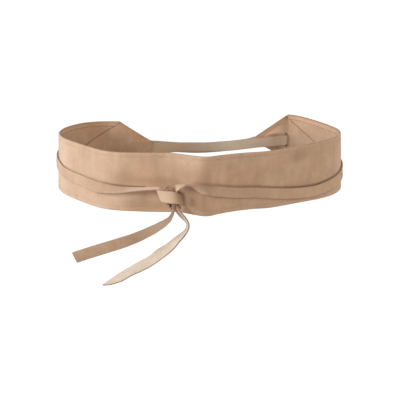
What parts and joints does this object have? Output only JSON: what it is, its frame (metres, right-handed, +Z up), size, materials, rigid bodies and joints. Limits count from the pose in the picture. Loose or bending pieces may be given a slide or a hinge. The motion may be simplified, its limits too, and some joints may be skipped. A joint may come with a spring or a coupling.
{
  "type": "suede wrap belt",
  "caption": "Wide suede waist band with tapered wrap ends, a slit in the right end and long flat ties knotted at the front and hanging.",
  "frame": {"origin": "centre of the waist opening, halfway up the band", "axes": "+Z up as worn, +X towards the wearer's left (the picture's right), -Y out of the front, where the knot is"},
  "size_m": [0.2881, 0.2083, 0.1207],
  "materials": {
    "outer_suede": "matt tan suede with a cloudy nap",
    "inner_suede": "matt brown suede",
    "tie_suede": "matt tan suede, cut edges lighter"
  },
  "bodies": {
    "root": {"band_outer": "outer_suede", "lining_centre": "inner_suede", "left_end_facing": "inner_suede", "right_end_facing": "inner_suede", "slit_tie": "tie_suede", "over_tie": "tie_suede"}
  },
  "joints": []
}
